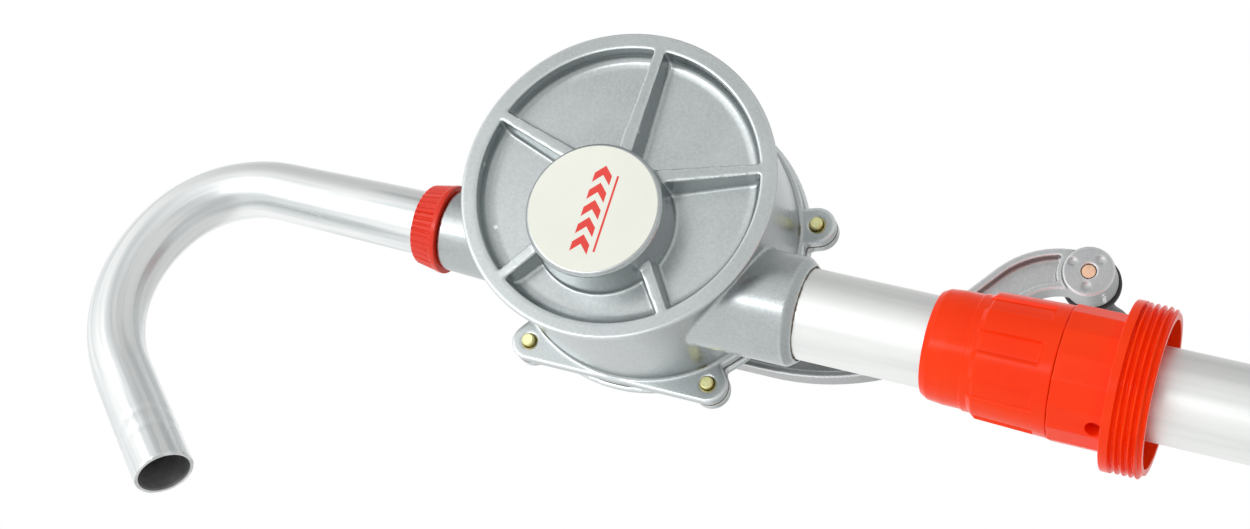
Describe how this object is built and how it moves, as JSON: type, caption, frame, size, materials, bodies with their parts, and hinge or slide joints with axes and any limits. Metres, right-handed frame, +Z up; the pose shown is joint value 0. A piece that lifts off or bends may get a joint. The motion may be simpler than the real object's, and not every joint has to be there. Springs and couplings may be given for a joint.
{
  "type": "hand-cranked drum pump",
  "caption": "Hand-cranked rotary vane pump on a long suction tube, with a swivelling gooseneck spout, cranked handle and threaded bung adapter.",
  "frame": {"origin": "on the suction tube's axis in the plane of the drum top, where the bung adapter's thread meets its stop ring", "axes": "+Z up along the suction tube towards the spout, -Y towards the pump's round front face, the crank behind at +Y; the pump body stands off towards +X"},
  "size_m": [0.2194, 0.2061, 1.2322],
  "materials": {
    "cast_aluminium": "satin die-cast, fine grain",
    "crank_casting": "rougher sand-grey casting",
    "spout_aluminium": "drawn and polished, lengthwise streaks",
    "tube_aluminium": "matte anodised",
    "red_plastic": "glossy injection-moulded",
    "collar_plastic": "glossy, knurled",
    "grip_plastic": "fine moulded texture",
    "label_vinyl": "printed vinyl",
    "screw_brass": "yellow zinc",
    "copper_steel": "copper-flashed steel",
    "zinc_steel": "zinc-plated",
    "shaft_steel": "turned steel",
    "bronze": "sintered bronze",
    "vane_plastic": "graphite-filled moulding",
    "seal_rubber": "nitrile",
    "gasket_fibre": "pressed fibre sheet"
  },
  "bodies": {
    "adapter": {"bung_adapter": "red_plastic"},
    "gland_washer": {"gland_washer": "vane_plastic"},
    "gland_nut": {"gland_nut": "red_plastic"},
    "tube_seal_ring": {"gland_seal": "seal_rubber"},
    "pump": {"body_casing": "cast_aluminium", "label_disc": "label_vinyl", "cover_gasket": "gasket_fibre", "rear_cover": "cast_aluminium", "cover_screws": "screw_brass", "front_bush": "bronze", "rear_bush": "bronze", "shaft_packing": "seal_rubber", "packing_nut": "zinc_steel", "suction_tube_upper": "tube_aluminium", "suction_tube_middle": "tube_aluminium", "suction_tube_lower": "tube_aluminium", "tube_coupler_upper": "tube_aluminium", "tube_coupler_lower": "tube_aluminium", "tube_seal": "seal_rubber"},
    "crank": {"rotor": "cast_aluminium", "drive_shaft": "shaft_steel", "crank_arm": "crank_casting", "crank_washer": "zinc_steel", "crank_bolt": "zinc_steel", "grip_spindle": "copper_steel", "grip_washer": "zinc_steel"},
    "grip": {"crank_grip": "grip_plastic"},
    "vane_spreader": {"vane_spreader": "seal_rubber"},
    "vanes": {"vane_upper": "vane_plastic", "vane_lower": "vane_plastic"},
    "spout": {"discharge_spout": "spout_aluminium", "outlet_seal": "seal_rubber"},
    "union_ring": {"outlet_slip_ring": "zinc_steel"},
    "union_nut": {"outlet_union_nut": "collar_plastic"}
  },
  "joints": [
    {"name": "gland_travel", "type": "slide", "parent": "adapter", "child": "gland_washer", "axis": [0, 0, 1], "range_m": [0, 0.0041]},
    {"name": "gland_nut_turn", "type": "hinge", "parent": "gland_washer", "child": "gland_nut", "pos_m": [0, 0, 0.056], "axis": [0, 0, 1], "range_deg": [0, 720]},
    {"name": "pump_swivel", "type": "hinge", "parent": "adapter", "child": "tube_seal_ring", "pos_m": [0, 0, 0.05], "axis": [0, 0, 1], "continuous": true},
    {"name": "tube_slide", "type": "slide", "parent": "tube_seal_ring", "child": "pump", "axis": [0, 0, 1], "range_m": [-0.015, 0.2]},
    {"name": "crank_turn", "type": "hinge", "parent": "pump", "child": "crank", "pos_m": [0.0093, 0, 0.1906], "axis": [0, 1, 0], "continuous": true},
    {"name": "grip_spin", "type": "hinge", "parent": "crank", "child": "grip", "pos_m": [0.055, 0.11, 0.0328], "axis": [0, 1, 0], "continuous": true},
    {"name": "spreader_orbit", "type": "hinge", "parent": "pump", "child": "vane_spreader", "pos_m": [0.0164, 0, 0.1898], "axis": [0, 1, 0], "continuous": true},
    {"name": "vane_turn", "type": "hinge", "parent": "vane_spreader", "child": "vanes", "pos_m": [0.0093, 0, 0.1906], "axis": [0, 1, 0], "continuous": true},
    {"name": "spout_swivel", "type": "hinge", "parent": "pump", "child": "spout", "pos_m": [0.0013, 0, 0.263], "axis": [0, 0, 1], "continuous": true},
    {"name": "union_travel", "type": "slide", "parent": "pump", "child": "union_ring", "axis": [0, 0, 1], "range_m": [0, 0.0031]},
    {"name": "union_nut_turn", "type": "hinge", "parent": "union_ring", "child": "union_nut", "pos_m": [0.0013, 0, 0.2655], "axis": [0, 0, 1], "range_deg": [0, 720]}
  ],
  "couplings": [
    {"joint": "gland_travel", "follows": "gland_nut_turn", "m_per_rad": 0.00031831},
    {"joint": "union_travel", "follows": "union_nut_turn", "m_per_rad": 0.00023873},
    {"joint": "spreader_orbit", "follows": "crank_turn", "ratio": 2},
    {"joint": "vane_turn", "follows": "crank_turn", "ratio": -1}
  ]
}
